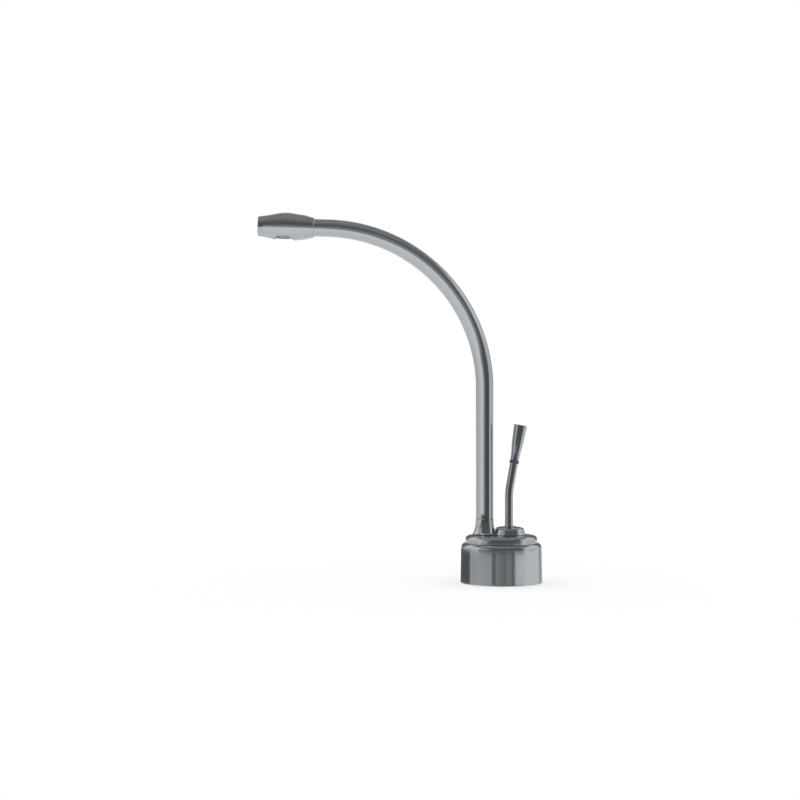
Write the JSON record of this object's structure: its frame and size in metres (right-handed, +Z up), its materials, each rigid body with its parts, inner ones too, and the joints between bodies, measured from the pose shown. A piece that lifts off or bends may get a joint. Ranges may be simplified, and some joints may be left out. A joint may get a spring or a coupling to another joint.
{
  "type": "deck-mounted cold water dispenser",
  "caption": "Deck-mounted cold water dispenser: round stepped base, swivelling gooseneck spout with a torpedo nozzle, and a bent self-closing lever with a cone grip.",
  "frame": {"origin": "on the worktop, at the centre of the base's underside, where the threaded shank goes through the worktop", "axes": "+Z up along the base's axis; the spout reaches out along -X at rest; the lever stands on the +X side and tilts towards +X; +Y is the rear of the pictured view"},
  "size_m": [0.1961, 0.0562, 0.3231],
  "materials": {
    "brushed_nickel": "fine brushed satin nickel",
    "brass": "machined",
    "stainless_steel": "machined",
    "dark_plating": "dark satin plating",
    "rubber": "matte",
    "white_acetal": "moulded",
    "blue_plastic": "smooth"
  },
  "bodies": {
    "base": {"base_shell": "brushed_nickel", "cap_plate": "brushed_nickel", "turret_cap": "brushed_nickel", "valve_body": "brass", "valve_seat": "brass", "gland_nut": "brass", "stem_oring": "rubber", "return_spring": "stainless_steel", "pivot_pin": "stainless_steel", "spout_bush": "white_acetal", "base_gasket": "rubber", "threaded_shank": "brass", "deck_washer": "rubber", "clamp_washer": "stainless_steel", "mounting_nut": "brass", "inlet_nipple": "brass"},
    "spout": {"spout_collar": "brushed_nickel", "spout_tube": "brushed_nickel", "nozzle_body": "brushed_nickel", "aerator_housing": "dark_plating", "aerator_screen": "white_acetal", "aerator_washer": "rubber", "spout_oring_lower": "rubber", "spout_oring_upper": "rubber", "retaining_clip": "stainless_steel"},
    "lever": {"lever_hub": "brushed_nickel", "lever_rod": "brushed_nickel", "index_ring": "blue_plastic", "lever_grip": "brushed_nickel"},
    "stem": {"valve_stem": "stainless_steel", "poppet_washer": "rubber", "poppet_nut": "brass"}
  },
  "joints": [
    {"name": "spout_swivel", "type": "hinge", "parent": "base", "child": "spout", "pos_m": [-0.0115, 0, 0.0331], "axis": [0, 0, 1], "continuous": true},
    {"name": "lever_tilt", "type": "hinge", "parent": "base", "child": "lever", "pos_m": [0.0053, 0, 0.0313], "axis": [0, 1, 0], "range_deg": [0, 20], "stiffness_Nm_per_rad": 0.12, "springref_deg": -20.05},
    {"name": "stem_slide", "type": "slide", "parent": "base", "child": "stem", "axis": [0, 0, -1], "range_m": [0, 0.0013], "deforming": ["return_spring"]}
  ],
  "couplings": [
    {"joint": "stem_slide", "follows": "lever_tilt", "m_per_rad": 0.0037}
  ]
}
